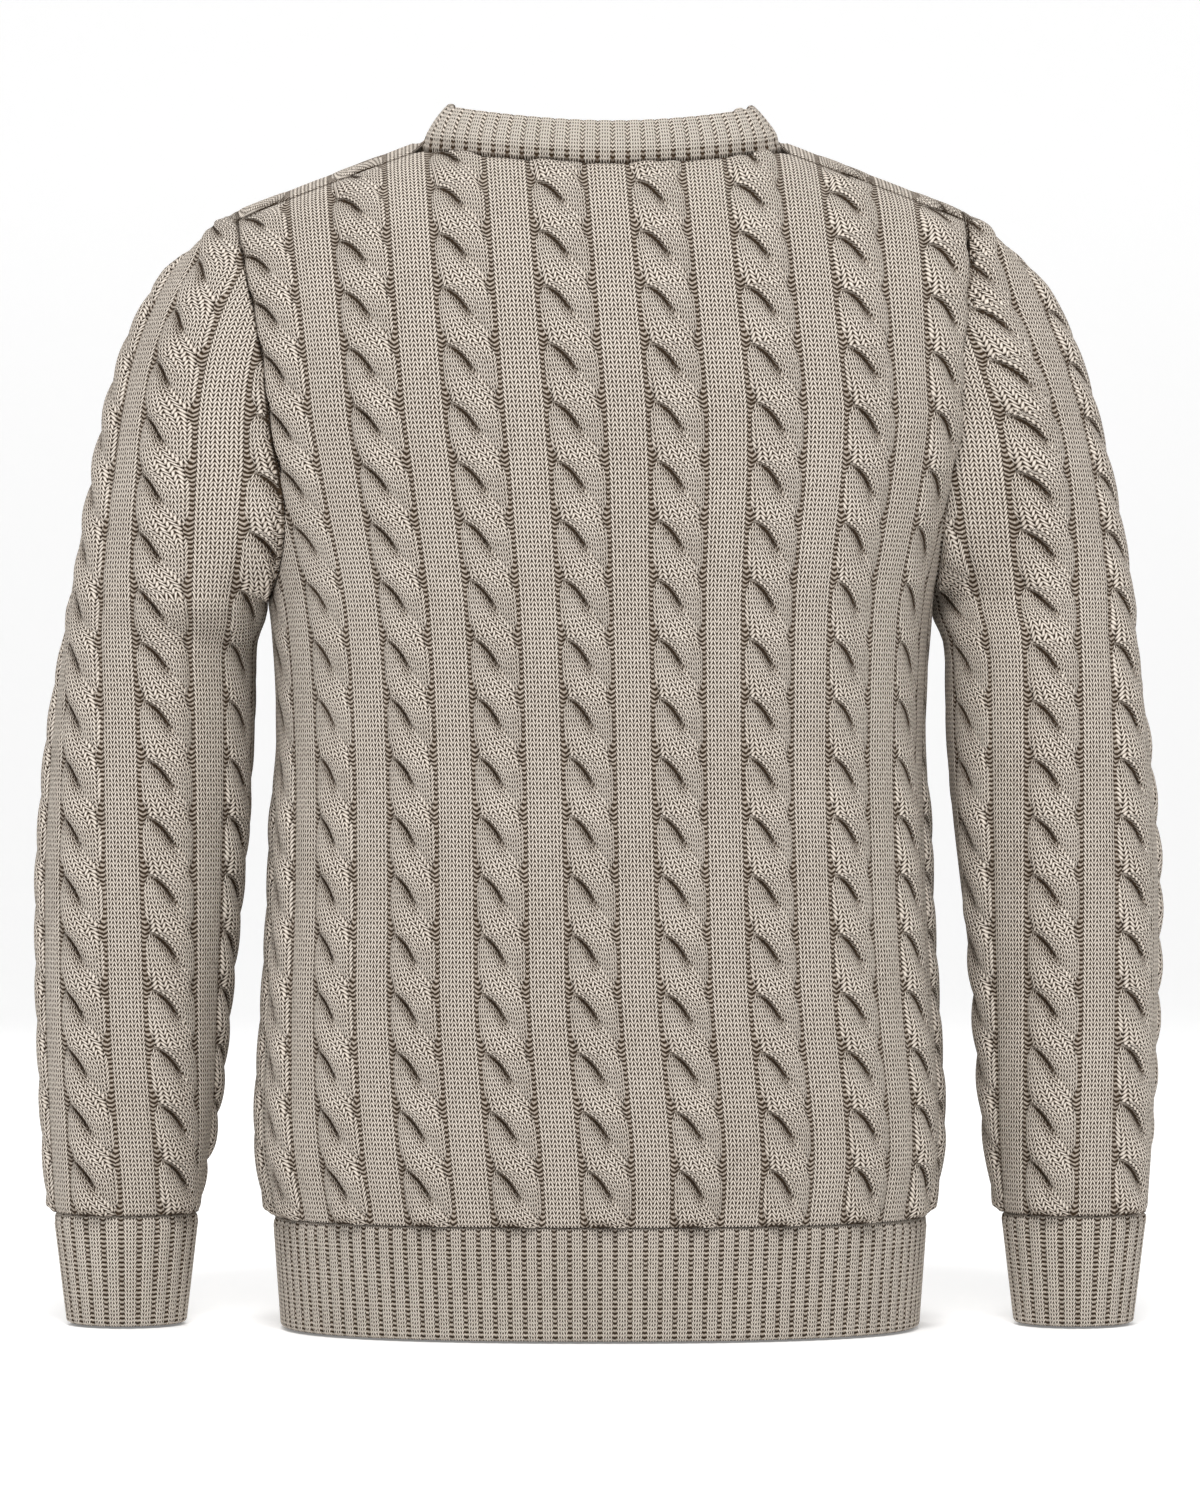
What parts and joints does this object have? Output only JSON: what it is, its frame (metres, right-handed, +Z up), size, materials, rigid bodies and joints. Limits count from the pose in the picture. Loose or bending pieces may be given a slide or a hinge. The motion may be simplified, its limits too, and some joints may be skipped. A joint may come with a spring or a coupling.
{
  "type": "cable knit sweater",
  "caption": "Crew neck pullover in cable knit, filled out as worn, with ribbed neckband, hem and cuffs, open at neck, hem and cuffs.",
  "frame": {"origin": "on the wearer's centre plane, level with the side neck points where the shoulder ridge meets the neck opening, midway in depth", "axes": "+Z up, +Y the way the wearer faces, +X the wearer's right"},
  "size_m": [0.651, 0.2722, 0.7011],
  "materials": {
    "cable_knit": "matte cotton yarn, cabled",
    "rib_knit": "matte cotton yarn, ribbed"
  },
  "bodies": {
    "root": {"back_panel": "cable_knit", "front_panel": "cable_knit", "sleeve_left": "cable_knit", "sleeve_right": "cable_knit", "neckband": "rib_knit", "hem_rib": "rib_knit", "cuff_left": "rib_knit", "cuff_right": "rib_knit"}
  },
  "joints": []
}
